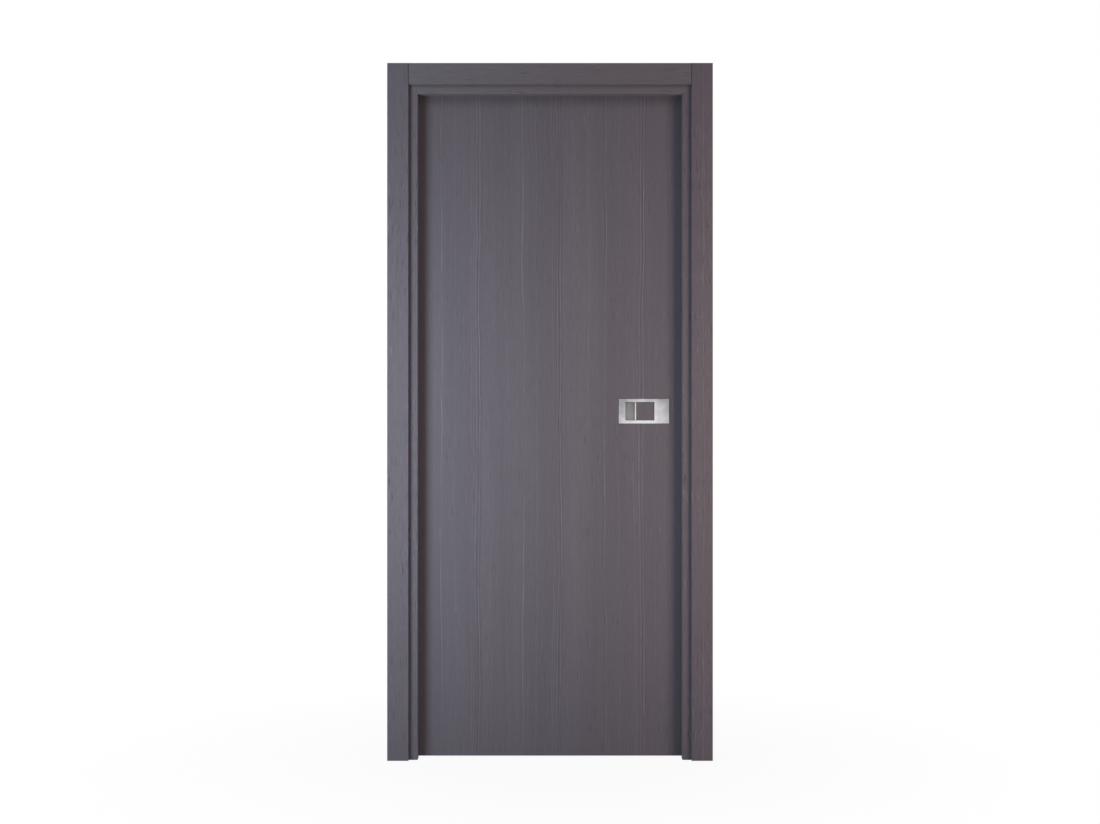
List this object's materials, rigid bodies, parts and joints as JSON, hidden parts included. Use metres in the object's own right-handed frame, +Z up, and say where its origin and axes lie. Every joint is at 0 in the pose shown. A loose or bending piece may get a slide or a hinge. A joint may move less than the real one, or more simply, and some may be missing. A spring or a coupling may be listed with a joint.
{
  "type": "interior door set",
  "caption": "Flush veneered interior door leaf hung in a mitred rebated frame with flat casings, flush pull handles with sprung paddles.",
  "frame": {"origin": "outer wall face of the hinge jamb, at the floor and at the middle of the jamb's depth", "axes": "+X across the doorway from the hinge jamb to the strike jamb, +Y towards the face that shows the hinges and that the leaf opens to, +Z up"},
  "size_m": [0.984, 0.1215, 2.1085],
  "materials": {
    "frame_veneer": "open grain veneer with a matt grey stain",
    "leaf_veneer": "open grain veneer with a matt grey stain",
    "inlay_veneer": "open grain veneer with a matt grey stain",
    "handle_metal": "satin chrome plate",
    "fitting_steel": "satin nickel plate",
    "seal_rubber": "matt"
  },
  "bodies": {
    "frame": {"hinge_jamb_stop": "frame_veneer", "strike_jamb_stop": "frame_veneer", "head_jamb_stop": "frame_veneer", "hinge_jamb_liner": "frame_veneer", "strike_jamb_liner": "frame_veneer", "head_jamb_liner": "frame_veneer", "front_hinge_casing": "frame_veneer", "front_strike_casing": "frame_veneer", "front_head_casing": "frame_veneer", "back_hinge_casing": "frame_veneer", "back_strike_casing": "frame_veneer", "back_head_casing": "frame_veneer", "hinge_seal": "seal_rubber", "strike_seal": "seal_rubber", "head_seal": "seal_rubber", "strike_plate": "fitting_steel", "upper_hinge_frame_half": "fitting_steel", "middle_hinge_frame_half": "fitting_steel", "lower_hinge_frame_half": "fitting_steel"},
    "leaf": {"leaf_front_skin": "leaf_veneer", "leaf_back_skin": "leaf_veneer", "leaf_hinge_stile": "leaf_veneer", "leaf_lock_stile": "leaf_veneer", "leaf_top_rail": "leaf_veneer", "leaf_bottom_rail": "leaf_veneer", "upper_hinge_leaf_half": "fitting_steel", "middle_hinge_leaf_half": "fitting_steel", "lower_hinge_leaf_half": "fitting_steel", "lock_forend": "fitting_steel", "latch_bolt": "fitting_steel", "front_handle_plate": "handle_metal", "back_handle_plate": "handle_metal"},
    "front_paddle": {"front_paddle": "handle_metal", "front_paddle_inlay": "inlay_veneer"},
    "back_paddle": {"back_paddle": "handle_metal", "back_paddle_inlay": "inlay_veneer"}
  },
  "joints": [
    {"name": "leaf_swing", "type": "hinge", "parent": "frame", "child": "leaf", "pos_m": [0.026, 0.055, 0], "axis": [0, 0, 1], "range_deg": [0, 175]},
    {"name": "front_paddle_pull", "type": "hinge", "parent": "leaf", "child": "front_paddle", "pos_m": [0.755, 0.0031, 1.0565], "axis": [0, 0, 1], "range_deg": [0, 20], "stiffness_Nm_per_rad": 0.5, "springref_deg": -11.46},
    {"name": "back_paddle_pull", "type": "hinge", "parent": "leaf", "child": "back_paddle", "pos_m": [0.755, 0.0429, 1.0565], "axis": [0, 0, -1], "range_deg": [0, 20], "stiffness_Nm_per_rad": 0.5, "springref_deg": -11.46}
  ]
}
